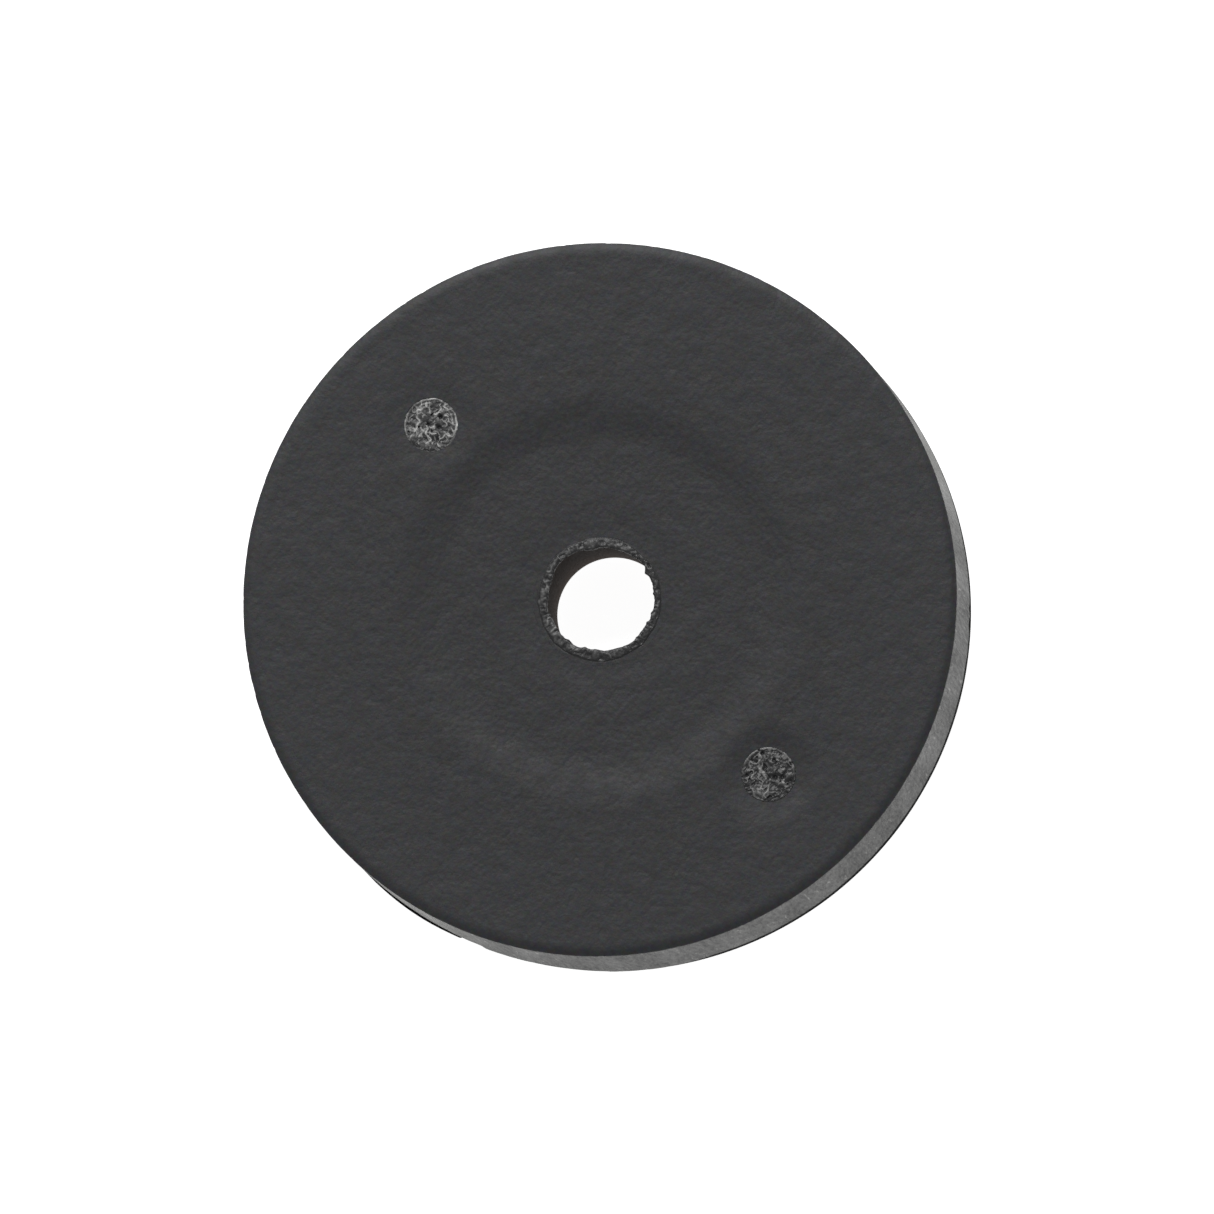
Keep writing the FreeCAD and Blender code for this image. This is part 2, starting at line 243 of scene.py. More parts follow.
def face_level(x, y):
    """Height of the front face over a place, in mm.

    From the highest plane it goes down by a smooth step for the dish, another for the funnel towards the
    hole, a soft hollow round each pin, the fourth power of the distance past the edge roll's start, and
    a faint noise of two sizes for the skin. The noise has its highest value taken off, so that it only
    goes down, and it dies away at the corner.
    """
    radius = np.hypot(x, y)
    depth = DISH_DEPTH * (1 - step(radius, *DISH_EDGE))
    depth += FUNNEL[1] * (1 - step(radius, FLARE, FUNNEL[0]))
    for (px, py), sink in zip(pin_places, SINK_DEPTHS):
        away = np.hypot(x - px, y - py)
        depth += sink * (1 - step(away, PIN_RADIUS - 0.3, PIN_RADIUS + SINK_REACH))
    start, drop = EDGE_ROLL
    depth += drop * np.clip((radius - start) / (OUTSIDE - CORNER - start), 0, None) ** 4
    flat = np.stack([x, y, 0 * x], axis=-1)
    wave = grain(flat, 5.0, 1) + 0.35 * grain(flat, 1.7, 2) - 1.35
    wave *= 1 - step(radius, start, OUTSIDE - CORNER)
    return FACE - depth + SKIN_WAVE * wave


print(f"pins: {2 * PIN_RADIUS:.1f} mm across, at", [(round(px, 2), round(py, 2)) for px, py in pin_places])

# %% Shell: profile
COLUMNS = 720
# The skin at the foot is folded into a sliver this wide and deep, from which the flash is drawn down.
FLASH_ROOM = 0.005
# Up to this height the rows are close together.
FOOT_TOP = SHELL_FOOT + 1.5
FLARE_HEIGHT = 0.5

corner_height = FACE - EDGE_ROLL[1] - CORNER
turn_angle = np.linspace(0, np.pi / 2, 8, endpoint=False)[:, None]
corner_arc = CORNER * np.hstack([np.cos(turn_angle), np.sin(turn_angle)])
corner_arc += [OUTSIDE - CORNER, corner_height]
dish_floor = FACE - DISH_DEPTH
hole = SLEEVE + 0.05
shell_radius, shell_height = spans(
    [(OUTSIDE - FLASH_ROOM, SHELL_FOOT - FLASH_ROOM), (OUTSIDE, SHELL_FOOT - FLASH_ROOM)],
    line((OUTSIDE, SHELL_FOOT), (OUTSIDE, FOOT_TOP), 14),
    line((OUTSIDE, FOOT_TOP), (OUTSIDE, corner_height), 22),
    corner_arc,
    line((OUTSIDE - CORNER, FACE), (EDGE_ROLL[0], FACE), 9),
    line((EDGE_ROLL[0], FACE), (FLARE + 0.01, FACE), 54),
    [(FLARE + 0.01, FACE), (FLARE, FACE), (FLARE, dish_floor - 0.08)],
    line((hole, dish_floor - FLARE_HEIGHT), (hole, UNDERSIDE), 2),
    line((hole, UNDERSIDE), (SKIRT_INSIDE, UNDERSIDE), 8),
    line((SKIRT_INSIDE, UNDERSIDE), (SKIRT_INSIDE, SHELL_FOOT), 3),
    line((SKIRT_INSIDE, SHELL_FOOT), (OUTSIDE - FLASH_ROOM, SHELL_FOOT), 3),
    [(OUTSIDE - FLASH_ROOM, SHELL_FOOT)],
)
print("rows round the shell's section:", len(shell_radius))

# %% [markdown]
# ## The bottom edge
#
# Two faults of cheap work make the bottom edge lively. The rubber pad was pressed on by hand, so it bulges
# past the shell at one place and has a bite out of it beside that. The pad's near-black edge is painted
# shade that stands in for the contact shadow under the puck, so the bulge thickens that dark band and the
# bite breaks it. And the mould didn't close tightly on one side, so a thin fin of plastic, called flash,
# leaked past its joint and hangs down over the pad. Both could be separate strips, but as functions of the
# angle each stays part of its own piece's closed skin.

# %% Pad's edge
# Angle in degrees, half width in degrees, and size in mm.
PAD_BULGE = (-79, 9.0, 0.15)
PAD_BITE = (-67.2, 2.1, 0.30)
PAD_UNEVEN = 0.010


def off_angle(angle, middle):
    """Degrees from one direction to another, from -180 to 180."""
    return (angle - middle + 180) % 360 - 180


def on_circle(angle):
    """Points on a circle of radius 1, so that a noise read there meets itself after a full turn."""
    turned = np.radians(angle)
    return np.stack([np.cos(turned), np.sin(turned), 0 * turned], axis=-1)


def pad_reach(angle):
    """Radius of the pad's edge: the puck's, plus a bell for the bulge, less a steep-sided bite and a
    slow noise, and never outside the square that just holds the puck."""
    around = on_circle(angle)
    bulge_at, bulge_width, bulge = PAD_BULGE
    bite_at, bite_width, bite = PAD_BITE
    reached = OUTSIDE + bulge * hump(off_angle(angle, bulge_at), 0, bulge_width)
    reached -= bite * (1 - step(np.abs(off_angle(angle, bite_at)), 0.7 * bite_width, bite_width))
    reached -= PAD_UNEVEN * (1 - grain(around, 0.14, 71))
    square = OUTSIDE / np.abs(around).max(axis=-1)
    return np.minimum(reached, square)


bulged = pad_reach(np.array([PAD_BULGE[0]]))[0] - OUTSIDE
print(f"the pad's bulge stands {bulged:.2f} mm past the shell")

# %% Shell: marks on the side wall
DRAG_DEPTH, CHIP_DEPTH = 0.012, 0.03
# Nicks in the foot: angle in degrees, depth in mm, and half width in degrees.
NICKS = ((-45.0, 0.05, 1.2), (44.0, 0.05, 0.8), (46.5, 0.04, 0.6))
# The flash: how far it hangs below the foot, in mm, at some angles in degrees.
FLASH = ((-65.6, 0.0), (-64.8, 0.98), (-57.6, 0.92), (-56.4, 0.25), (-52.4, 0.30), (-51.2, 0.78),
         (-45.0, 0.80), (-44.4, 0.98), (-36.0, 0.90), (-27.0, 0.0))
FLASH_THICKNESS = 0.02
PAD_CLEARANCE = 0.01


def flash_depth(angle):
    """How far the flash hangs at an angle: straight lines between the points above, made shorter here and
    there by a fine noise, so that its edge is ragged."""
    ragged = 1 - 0.12 * np.abs(grain(on_circle(angle), 0.012, 6))
    return np.interp(angle, *np.transpose(FLASH)) * ragged


def side_dents(points):
    """How far the side wall is pushed in, in mm.

    Drag marks are ridges of noise stretched along the height. Each nick is a bell round the angle, at
    the wall's foot. The front corner has short chips where another ridged noise is highest.
    """
    x, y, z = np.moveaxis(points, -1, 0)
    drag = ridges(points * [1, 1, 0.15], 0.5, 3) + 0.6 * ridges(points * [1, 1, 0.3], 1.3, 4)
    angle = np.degrees(np.arctan2(y, x))
    at_foot = 1 - step(z, SHELL_FOOT + 0.2, SHELL_FOOT + 1.4)
    nicks = sum(depth * hump(off_angle(angle, middle), 0, width) for middle, depth, width in NICKS)
    chips = step(ridges(points, 0.9, 5), 0.8, 1.0) * step(z, corner_height - 0.15, corner_height)
    return DRAG_DEPTH * drag + nicks * at_foot + CHIP_DEPTH * chips


# %% Shell: mesh
# The face's rows take the face's height. The wall is pushed in by its marks, and where the flash hangs it
# is pushed out instead, just past the pad, and drawn down over it. Heights and radii that differ by less
# than a hair, in mm, count as the same.
shell_points = turn(shell_radius, shell_height, COLUMNS)
x, y, z = np.moveaxis(shell_points, -1, 0)
angle = np.degrees(np.arctan2(y, x))
radius = shell_radius[:, None] + 0 * x
HAIR = 0.001
outer_rows = shell_radius > OUTSIDE - CORNER
face_rows = (shell_height > FACE - HAIR)[:, None]
side_rows = (outer_rows & (shell_height > SHELL_FOOT - HAIR))[:, None]
flash_rows = (outer_rows & (shell_height < SHELL_FOOT + HAIR))[:, None]
hanging = flash_depth(angle)
over_pad = (pad_reach(angle) + PAD_CLEARANCE + FLASH_THICKNESS - OUTSIDE) * step(hanging, 0, 0.2)
spread = np.clip(over_pad, 0, None) * (1 - step(z, SHELL_FOOT + 0.1, FOOT_TOP))
smooth_foot = step(hanging, 0, 0.2) * (z < FOOT_TOP)
dents = np.where(side_rows, side_dents(shell_points) * (1 - smooth_foot), 0)
new_radius = radius - dents + np.where(radius > OUTSIDE - CORNER, spread, 0)
new_radius -= np.where(radius < OUTSIDE - FLASH_ROOM / 2, FLASH_THICKNESS, 0) * flash_rows * (hanging > 0)
below_foot = (shell_height < SHELL_FOOT - HAIR)[:, None]
z = np.where(face_rows, face_level(x, y), np.where(below_foot, z - hanging, z))
scale = new_radius / radius
shell = solid("front_shell_skin", np.stack([x * scale, y * scale, z], axis=-1))

# %% [markdown]
# ## Holes for the pins
#
# Each pin sits in a stepped hole: a wide seat for its melted head and a narrower hole for its shank. A
# grid could be bent round the holes, but a Boolean with a stepped plug is how a drill would make them,
# and it keeps the hole's edge perfectly round. It is applied at once, so that the plugs can be deleted.

# %% Shell: pin holes
SHANK_RADIUS = 1.4
SHANK_GAP = 0.05
HEAD_HEIGHT = 0.7
PLUG_COLUMNS = 120
seat_floor = PIN_TOP - HEAD_HEIGHT
shank_hole = SHANK_RADIUS + SHANK_GAP
# A plug stands 1 mm out of the shell at each end, so that it cuts right through.
plug_foot, plug_top = UNDERSIDE - 1, FACE + 1
plug_profile = spans([
    (shank_hole, plug_foot), (shank_hole, seat_floor), (PIN_RADIUS, seat_floor), (PIN_RADIUS, plug_top),
])
plugs = []
for number, (px, py) in enumerate(pin_places, start=1):
    points = turn(*plug_profile, PLUG_COLUMNS) + [px, py, 0]
    plugs.append(solid(f"plug_{number}", points, [(px, py, plug_foot), (px, py, plug_top)]))
    cut = shell.modifiers.new(f"seat_{number}", "BOOLEAN")
    cut.operation = "DIFFERENCE"
    cut.solver = "EXACT"
    cut.object = plugs[-1]

seen = bpy.context.evaluated_depsgraph_get()
drilled = bpy.data.meshes.new_from_object(shell.evaluated_get(seen))
# Past this angle between two faces the edge is shaded as sharp.
SHARP = math.radians(35)
drilled.set_sharp_from_angle(angle=SHARP)
shell.modifiers.clear()
shell.data = drilled
for plug in plugs:
    bpy.data.objects.remove(plug)
print("faces after drilling:", len(drilled.polygons))

# %% [markdown]
# ## The melted pins
#
# A hot punch flattened the end of each plastic pin into its seat, and pulled strings and crumbs of
# plastic up as it left. What the eye sees is a thin bright ring where the melt was squeezed against the
# seat, and inside it a crust of torn crests and deep black pits. The heights are layers of noise, with a
# few larger pits and lumps listed one by one, because the two ends were not torn alike. A number for how
# far a point stands on a crest is kept on the mesh: stretched black plastic turns pale there, and the
# finish reads it.

# %% Pins: pits and lumps, listed one by one
# Across, along, size and height in mm, from the pin's middle. A pit has a height below nought.
END_MARKS = (
    ((-1.54, -0.18, 0.11, -0.16), (-1.55, 0.36, 0.11, -0.16), (-1.37, 0.73, 0.10, -0.15),
     (-1.03, -1.12, 0.11, -0.15), (0.12, -0.14, 0.15, -0.17), (0.45, 0.21, 0.16, -0.19),
     (0.80, 0.56, 0.15, -0.17), (1.39, 0.78, 0.17, -0.17), (0.58, 1.69, 0.13, -0.14),
     (0.30, -1.62, 0.20, 0.07), (0.60, -1.38, 0.20, 0.06), (0.92, -1.08, 0.20, 0.07),
     (1.05, -0.70, 0.20, 0.06)),
    ((0.05, 0.86, 0.13, -0.20), (-0.20, -0.14, 0.11, -0.18), (0.48, 0.30, 0.14, -0.18),
     (1.09, -0.42, 0.36, -0.10), (0.30, -0.30, 0.10, -0.14), (-0.69, -0.72, 0.16, 0.07),
     (-0.12, -1.14, 0.15, 0.07), (-0.09, 1.19, 0.16, 0.08), (0.84, -1.22, 0.18, 0.07),
     (-1.20, 0.30, 0.16, 0.06), (0.10, 0.55, 0.14, 0.06)),
)

# Arcs on which the squeezed ring stands up: middle and half width in degrees, and strength.
END_ARCS = (
    ((150, 52, 0.8), (85, 36, 0.65), (-66, 16, 0.3)),
    ((136, 34, 1.0), (50, 34, 0.9), (-142, 30, 0.8)),
)
print("marks set by hand on each pin:", [len(marks) for marks in END_MARKS])


# %% Pins: torn surface
def torn_end(x, y, seed, marks, arcs):
    """Height of a melted end, in mm, and how far each point stands on a torn crest, from 0 to 1.

    Crumbs are smooth noise, and strings and threads are strands bent by other noise and broken by more.
    Specks are where one more noise is high, and pits are where another is low. The ring is a bell at the
    pin's edge that is strong on a few arcs and broken by noise, a fainter one stands inside it, and each
    mark is a bell. Off those arcs the crests die away at the edge.
    """
    flat = np.stack([x, y, 0 * x + 0.37 * seed], axis=-1)
    away = np.hypot(x, y)
    bend = 0.16 * np.stack([grain(flat, 0.38, seed + 1), grain(flat, 0.38, seed + 2), 0 * x], axis=-1)
    crumbs = grain(flat, 0.24, seed + 3) + 0.5 * grain(flat, 0.12, seed + 4)
    strings = strands(flat + bend, 0.48, seed + 5, 0.065) * step(grain(flat, 0.34, seed + 6), -0.25, 0.2)
    threads = strands(flat - bend, 0.32, seed + 7, 0.045) * step(grain(flat, 0.30, seed + 8), -0.2, 0.25)
    specks = step(grain(flat, 0.17, seed + 12), 0.42, 0.75)
    pits = step(-grain(flat, 0.24, seed + 9), 0.6, 0.95)
    angle = np.degrees(np.arctan2(y, x))
    held = np.max([strength * hump(off_angle(angle, middle), 0, width)
                   for middle, width, strength in arcs], axis=0)
    broken = held * (0.6 + 0.4 * step(grain(flat, 0.6, seed + 10), -0.3, 0.2))
    squeezed = away + 0.05 * grain(flat, 0.5, seed + 13)
    ring = hump(squeezed, PIN_RADIUS - 0.09, 0.065) * broken
    inner_ring = hump(away, PIN_RADIUS - 0.36, 0.05) * step(grain(flat, 0.7, seed + 11), 0.0, 0.3) * held
    set_by_hand = sum(rise * hump(np.hypot(x - mx, y - my), 0, size) for mx, my, size, rise in marks)
    height = 0.030 * crumbs + 0.055 * strings + 0.04 * threads + 0.02 * specks - 0.10 * pits
    height += 0.055 * ring + 0.035 * inner_ring + set_by_hand - 0.03
    crest = 0.07 + 0.11 * crumbs + 0.66 * strings + 0.38 * threads + 0.45 * specks - 0.8 * pits
    crest *= 1 - 0.8 * (1 - held) * step(away, PIN_RADIUS - 0.4, PIN_RADIUS - 0.1)
    crest += 0.9 * ring + 0.5 * inner_ring + 2.0 * set_by_hand
    inside = 1 - step(away, PIN_RADIUS - 0.02, PIN_RADIUS)
    return height * inside, np.clip(crest, 0, 1) * inside


# %% Pins: mesh
PIN_COLUMNS = 360
# The torn heights are added to a level this far under the pin's top.
CRUST = 0.03


def pin(number, centre, seed, paleness):
    """A shank with a head at each end: a turned profile from the bottom middle to the top middle. The
    top end gets the torn height, and paleness is how pale its crests turned."""
    low_head, high_head = PIN_FOOT + HEAD_HEIGHT, PIN_TOP - HEAD_HEIGHT
    surface_level = PIN_TOP - CRUST
    profile = spans(
        line((0.1, PIN_FOOT), (PIN_RADIUS, PIN_FOOT), 6),
        line((PIN_RADIUS, PIN_FOOT), (PIN_RADIUS, low_head), 3),
        line((PIN_RADIUS, low_head), (SHANK_RADIUS, low_head), 2),
        line((SHANK_RADIUS, low_head), (SHANK_RADIUS, high_head), 6),
        line((SHANK_RADIUS, high_head), (PIN_RADIUS, high_head), 2),
        line((PIN_RADIUS, high_head), (PIN_RADIUS, surface_level), 8),
        line((PIN_RADIUS, surface_level), (0.02, surface_level), 90),
    )
    points = turn(*profile, PIN_COLUMNS)
    x, y, z = np.moveaxis(points, -1, 0)
    top = z > surface_level - HAIR
    height, crest = torn_end(x, y, seed, END_MARKS[number - 1], END_ARCS[number - 1])
    points[..., 2] = np.where(top, np.minimum(z + height, FACE), z)
    tip = points[-1, :, 2].mean()
    points = points + [*centre, 0]
    piece = solid(f"melted_pin_{number}", points, [(*centre, PIN_FOOT), (*centre, tip)])
    keep = piece.data.attributes.new("torn", "FLOAT", "POINT")
    keep.data.foreach_set("value", np.append(np.where(top, paleness * crest, 0).ravel(), [0, 0]))
    return piece


pins = [pin(1, pin_places[0], 11, 0.48), pin(2, pin_places[1], 47, 0.94)]

# %% [markdown]
# ## The sleeve and its melted lip
#
# The sleeve lines the bore. Its back end is a flange. Its front end was spread into the shell with a hot
# tool, flush with the face, and left a narrow raised lip that leans into the hole, more on one side, with
# a few teeth of plastic. The wall below it stayed as smooth as it was moulded. The lip is the only part
# that isn't round, so its profile is turned first and then moved by amounts that depend on the angle.

# %% Sleeve: how the lip leans
# Angle in degrees, half width in degrees, and how far it leans in mm.
LEANS = ((-44, 42, 0.42), (-100, 34, 0.36), (-140, 26, 0.42), (138, 34, 0.40), (10, 34, 0.26),
         (58, 26, 0.14))
TEETH = ((98, 2.2, 0.12), (76, 3.6, 0.20), (52, 1.8, 0.07), (31, 2.4, 0.10), (20, 2.0, 0.12),
         (-61, 2.5, 0.08), (-80, 5.0, 0.16), (-118, 2.5, 0.10))


def lean(angle):
    """How far the lip's inner edge stands into the hole, in mm: the largest of a few wide bells round
    the angle, plus a narrow bell for each tooth."""
    wide = [size * hump(off_angle(angle, middle), 0, width) for middle, width, size in LEANS]
    teeth = [size * hump(off_angle(angle, middle), 0, width) for middle, width, size in TEETH]
    return np.max(wide, axis=0) + sum(teeth)


# %% Sleeve: mesh
SLEEVE_FOOT = foot("centre_sleeve")
FLANGE_THICKNESS = 0.5
LIP_OUTSIDE = 4.36
# The lip's section: radius and height over the face, from the outer foot over the crest and back.
LIP_SECTION = ((LIP_OUTSIDE, 0.0), (4.33, 0.0), (4.25, 0.055), (4.12, 0.07), (4.02, 0.08), (3.95, 0.05),
               (3.92, -0.02), (3.94, -0.22), (3.98, -0.47), (BORE, -0.9))
LIP_ROWS = 60
# Rings of the collar, from the flare to the lip's foot.
COLLAR = (FLARE + 0.003, FLARE - 0.01, 4.58, 4.50, 4.43)
FLANGE_ROWS = 5

flange_top = SLEEVE_FOOT + FLANGE_THICKNESS
section = np.array(LIP_SECTION)
lengths = np.append(0, np.cumsum(np.hypot(*np.diff(section, axis=0).T)))
along = np.linspace(0, lengths[-1], LIP_ROWS)
lip_radius, lip_rise = (np.interp(along, lengths, column) for column in section.T)
below = spans(
    line((FLANGE, SLEEVE_FOOT), (FLANGE, flange_top), 3),
    line((FLANGE, flange_top), (SLEEVE, flange_top), 3),
    line((SLEEVE, flange_top), (SLEEVE, dish_floor - FLARE_HEIGHT), 6),
    line((SLEEVE, dish_floor - FLARE_HEIGHT), (FLARE - 0.02, dish_floor - 0.1), 5),
)
wall = spans(
    line((BORE, dish_floor - 1.0), (BORE, SLEEVE_FOOT), 24),
    line((BORE, SLEEVE_FOOT), (FLANGE, SLEEVE_FOOT), FLANGE_ROWS),
)
collar_first = below.shape[1]
lip_first = collar_first + len(COLLAR)
lip_last = lip_first + LIP_ROWS
radius_rows = np.concatenate([below[0], COLLAR, lip_radius, wall[0]])
height_rows = np.concatenate([below[1], np.zeros(len(COLLAR)), lip_rise, wall[1]])
sleeve_points = turn(radius_rows, height_rows, COLUMNS)
x, y, z = np.moveaxis(sleeve_points, -1, 0)
radius = radius_rows[:, None] + 0 * x
angle = np.degrees(np.arctan2(y, x))
on_top = np.zeros(len(radius_rows), bool)
on_top[collar_first:lip_last] = True
z = np.where(on_top[:, None], z + face_level(x, y), z)

# %% Sleeve: torn lip
# How much a point belongs to the lip: all of it on the crest, and none at the outer foot and deep inside.
lip = np.zeros(len(radius_rows))
lip[lip_first:lip_last] = 1
lip = lip[:, None] * (1 - step(radius, 4.12, LIP_OUTSIDE)) * step(z, dish_floor - 0.95, dish_floor - 0.35)
# The noises are read on the lip rolled out flat, and are longer round the hole than across the lip.
unrolled = np.stack([1.5 * radius, 0.7 * BORE * np.radians(angle), 1.2 * z], axis=-1)
lumps = grain(unrolled, 0.20, 61) + 0.6 * grain(unrolled, 0.10, 62)
strings = strands(unrolled, 0.30, 63, 0.04) * step(grain(unrolled, 0.4, 65), -0.3, 0.3)
torn_pits = step(-grain(unrolled, 0.30, 66), 0.45, 0.85)
uneven = 0.85 + 0.3 * grain(unrolled, 0.6, 64)
inward = lip * (1 - step(radius, BORE - 0.05, 4.25)) * lean(angle) * uneven
# The foot of the lip wanders in and out, the same all along one section, as melted plastic runs.
ring_line = np.stack([BORE * x / radius, BORE * y / radius, 0 * z], axis=-1)
run = grain(ring_line, 1.0, 67) + 0.6 * grain(ring_line, 0.45, 68)
foot_zone = on_top[:, None] * step(radius, 4.05, 4.30) * (1 - step(radius, LIP_OUTSIDE, 4.57))
new_radius = radius - inward + lip * 0.04 * lumps + 0.07 * foot_zone * run
new_z = z + lip * (0.035 * lumps + 0.04 * strings - 0.09 * torn_pits)
new_z -= 0.02 * foot_zone * (1 - step(radius, 4.30, LIP_OUTSIDE)) * step(run, -0.2, 0.6)
new_z = np.minimum(new_z, FACE)
scale = new_radius / radius
sleeve = solid("sleeve_with_lip", np.stack([x * scale, y * scale, new_z], axis=-1))
pale = 0.17 + 0.20 * hump(off_angle(angle, -115), 0, 45)
torn = sleeve.data.attributes.new("torn", "FLOAT", "POINT")
crest = lip * (0.03 + pale * (0.1 + 1.0 * strings + 0.3 * lumps))
torn.data.foreach_set("value", np.clip(crest, 0, 1).ravel())
print(f"lip's inner edge: {new_radius[on_top].min():.2f} mm from the axis")

# %% [markdown]
# ## The rubber pad
#
# The pad is a disc stamped out of rubber sheet and pressed on by hand, so its edge bulges where it was
# pressed hardest. A stamp leaves an edge with a slight hollow halfway up, where the rubber gave under the
# blade. Its near-black edge is painted shade, standing in for the contact shadow along the puck's bottom
# edge. A plain cylinder would show as a hard even line, so the edge follows the reach worked out above.

# %% Pad
PAD_TOP = reach("rear_pad", axis=2)
PAD_HOLE = FLANGE + 0.5
PAD_CORNER = 0.06
pad_profile = spans(
    line((OUTSIDE - PAD_CORNER, 0), (OUTSIDE, PAD_CORNER), 3),
    line((OUTSIDE, PAD_CORNER), (OUTSIDE, PAD_TOP), 8),
    line((OUTSIDE, PAD_TOP), (PAD_HOLE, PAD_TOP), 12),
    line((PAD_HOLE, PAD_TOP), (PAD_HOLE, PAD_CORNER), 5),
    line((PAD_HOLE, PAD_CORNER), (PAD_HOLE + PAD_CORNER, 0), 3),
    line((PAD_HOLE + PAD_CORNER, 0), (OUTSIDE - PAD_CORNER, 0), 12),
)
pad_points = turn(*pad_profile, COLUMNS)
x, y, z = np.moveaxis(pad_points, -1, 0)
radius = np.hypot(x, y)
angle = np.degrees(np.arctan2(y, x))
at_edge = step(radius, OUTSIDE - 1.5, OUTSIDE - 0.2)
hollow = 0.015 * np.sin(np.pi * np.clip(z / PAD_TOP, 0, 1))
scale = 1 + at_edge * (pad_reach(angle) - OUTSIDE - hollow) / radius
pad = solid("pad_and_painted_shade", np.stack([x * scale, y * scale, z], axis=-1))

# %% [markdown]
# ## Who stands for what
#
# Each new piece takes the place of a solid in the frame and moves with the frame's one body. Nothing else
# is hidden: the parts inside are still there.

# %% Pieces in the frame
for piece, node in (
    (shell, "front_shell"),
    (pins[0], "stake_pin_1"),
    (pins[1], "stake_pin_2"),
    (sleeve, "centre_sleeve"),
    (pad, "rear_pad"),
):
    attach(piece, "root")
    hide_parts(node)


# %% [markdown]
# ## Tools for finishes
#
# A finish is a small network of nodes, which could also be put together by hand in the shader editor. In
# code, one helper adds a node with its settings and links, and another turns the hex colours that a
# designer writes into the linear numbers that the renderer adds up. Patterns are sized in millimetres
# and read the object's own coordinates, so that they stay in place whatever the camera does. A pattern's
# Scale is one over the size of its grains.


# %% Helpers for finishes
# A Mix node has a set of sockets for each kind of value. These are the ones for colours.
FACTOR, FIRST, SECOND, MIXED = 0, 6, 7, 2


def linear(code):
    """A colour written as sRGB hex, as the linear red, green, blue and alpha that shaders use."""
    parts = [int(code[i:i + 2], 16) / 255 for i in (1, 3, 5)]
    return (*[p / 12.92 if p <= 0.04045 else ((p + 0.055) / 1.055) ** 2.4 for p in parts], 1)


def add(tree, kind, sockets=(), out=0, **settings):
    """A new node, and back comes one of its outputs: the first, or the one that out says.

    Each socket is set to a value, or linked if it is given another node's output.
    """
    node = tree.nodes.new("ShaderNode" + kind)
    for name, value in settings.items():
        setattr(node, name, value)
    for name, value in dict(sockets).items():
        if isinstance(value, bpy.types.NodeSocket):
            tree.links.new(value, node.inputs[name])
        else:
            node.inputs[name].default_value = value
    return node.outputs[out]


def finish(name):
    """An empty material: its nodes, its shader, and its pattern coordinates in mm."""
    material = bpy.data.materials.new(name)
    material.use_nodes = True
    tree = material.node_tree
    shader = tree.nodes["Principled BSDF"]
    place = add(tree, "TexCoord", out="Object")
    in_mm = add(tree, "Mapping", {"Vector": place, "Scale": (1 / MM,) * 3})
    print("finish:", name)
    return material, tree, shader, in_mm


def wire(tree, shader, **links):
    """Links outputs to the shader's sockets, whose names are written with _ for a space."""
    for name, output in links.items():
        tree.links.new(output, shader.inputs[name.replace("_", " ")])


# %% [markdown]
# ## Moulded black ABS
#
# ABS is a tough plastic with an IOR of about 1.54, moulded here against a spark-eroded steel face. That
# gives an even, dull grain with a soft sheen, and it is what makes the shallow dish readable. The real
# grain is finer than a tenth of a millimetre and wouldn't show, so it is drawn 0.36 mm across. It is a
# little narrower across the melt's flow than along it, because the coordinates that way are divided by a
# shorter unit. The black has a trace of other hues in it, and the outer part of the face is painted a
# shade paler, as a painted glow of light towards the edge.

# %% Finish: shell face
ACROSS_FLOW = math.radians(46)
abs_face, tree, shader, place = finish("moulded_black_abs")
turned = {"Vector": place, "Rotation": (0, 0, ACROSS_FLOW), "Scale": (0.88, 1, 1)}
drawn = add(tree, "Mapping", turned, vector_type="TEXTURE")
fine = add(tree, "TexNoise", {"Vector": drawn, "Scale": 1 / 0.36})
coarse = add(tree, "TexNoise", {"Vector": drawn, "Scale": 1 / 1.5})
hue = add(tree, "TexNoise", {"Vector": drawn, "Scale": 1 / 0.9})
tints = add(tree, "TexNoise", {"Vector": place, "Scale": 1 / 0.3, "Detail": 1}, out="Color")

# Two blacks, one warm and one cool, each with its grain, and the hue that picks between them.
warm = {FACTOR: fine, FIRST: linear("#171815"), SECOND: linear("#32312f")}
cool = {FACTOR: fine, FIRST: linear("#14161c"), SECOND: linear("#303139")}
warm, cool = (add(tree, "Mix", sockets, MIXED, data_type="RGBA") for sockets in (warm, cool))
pick = add(tree, "MapRange", {"Value": hue, "From Min": 0.3, "From Max": 0.7})
black = add(tree, "Mix", {FACTOR: pick, FIRST: warm, SECOND: cool}, MIXED, data_type="RGBA")

# The distance from the axis, from 15 mm to 24 mm, says how much painted glow of light the face gets, up to
# a half.
flat = add(tree, "VectorMath", {0: place, 1: (1, 1, 0)}, operation="MULTIPLY")
radius = add(tree, "VectorMath", {0: flat}, out="Value", operation="LENGTH")
edge_glow = add(tree, "MapRange", {"Value": radius, "From Min": 15, "From Max": 24, "To Max": 0.5})
# A paler black painted towards the edge: a painted glow of light.
with_edge_glow = {FACTOR: edge_glow, FIRST: black, SECOND: linear("#2e2f32")}
with_edge_glow = add(tree, "Mix", with_edge_glow, MIXED, data_type="RGBA")
trace = {0: tints, 1: (1.2, 1.2, 1.2), 2: (0.4, 0.4, 0.4)}
trace = add(tree, "VectorMath", trace, operation="MULTIPLY_ADD")
grained = add(tree, "Bump", {"Height": fine, "Distance": 0.028 * MM})
wire(
    tree, shader,
    Base_Color=add(tree, "VectorMath", {0: with_edge_glow, 1: trace}, operation="MULTIPLY"),
    Roughness=add(tree, "MapRange", {"Value": coarse, "To Min": 0.44, "To Max": 0.66}),
    Normal=add(tree, "Bump", {"Height": coarse, "Distance": 0.06 * MM, "Normal": grained}),
)
shader.inputs["IOR"].default_value = 1.54
